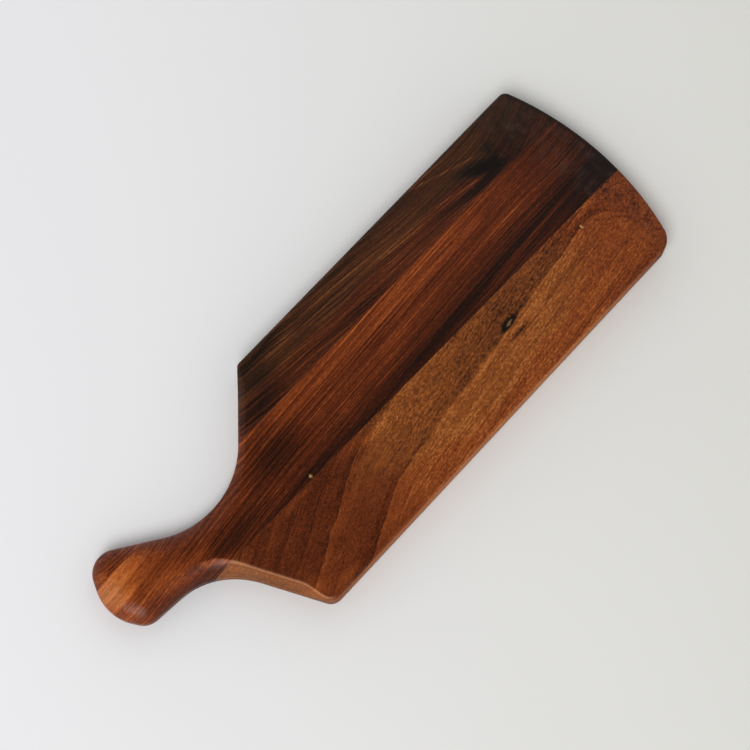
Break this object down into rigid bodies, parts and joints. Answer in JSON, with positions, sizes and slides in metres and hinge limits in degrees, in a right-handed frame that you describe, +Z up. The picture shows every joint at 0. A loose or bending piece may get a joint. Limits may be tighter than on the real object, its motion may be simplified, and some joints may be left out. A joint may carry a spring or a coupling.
{
  "type": "serving board",
  "caption": "Long wooden serving board of edge-glued walnut staves, with a crowned end, bevelled shoulders and a carved handle that turns aside to a rounded bulb.",
  "frame": {"origin": "centre of the bounding box of the plan, on the underside", "axes": "+X along the board from the nose of the handle to the crowned end, +Y across it towards the dark stave's edge, +Z up through the serving face"},
  "size_m": [0.45, 0.155, 0.02],
  "materials": {
    "dark_walnut": "oiled satin, dark straight-grained walnut heartwood",
    "red_walnut": "oiled satin, straight-grained red-brown walnut",
    "pale_walnut": "oiled satin, flat-sawn walnut with cathedral figure",
    "set_glue": "set wood glue, a thin dark line flush with the faces"
  },
  "bodies": {
    "root": {"dark_stave": "dark_walnut", "handle_cheek": "dark_walnut", "handle_stave": "red_walnut", "pale_stave": "pale_walnut", "dark_glue_line": "set_glue", "cheek_glue_line": "set_glue", "pale_glue_line": "set_glue"}
  },
  "joints": []
}
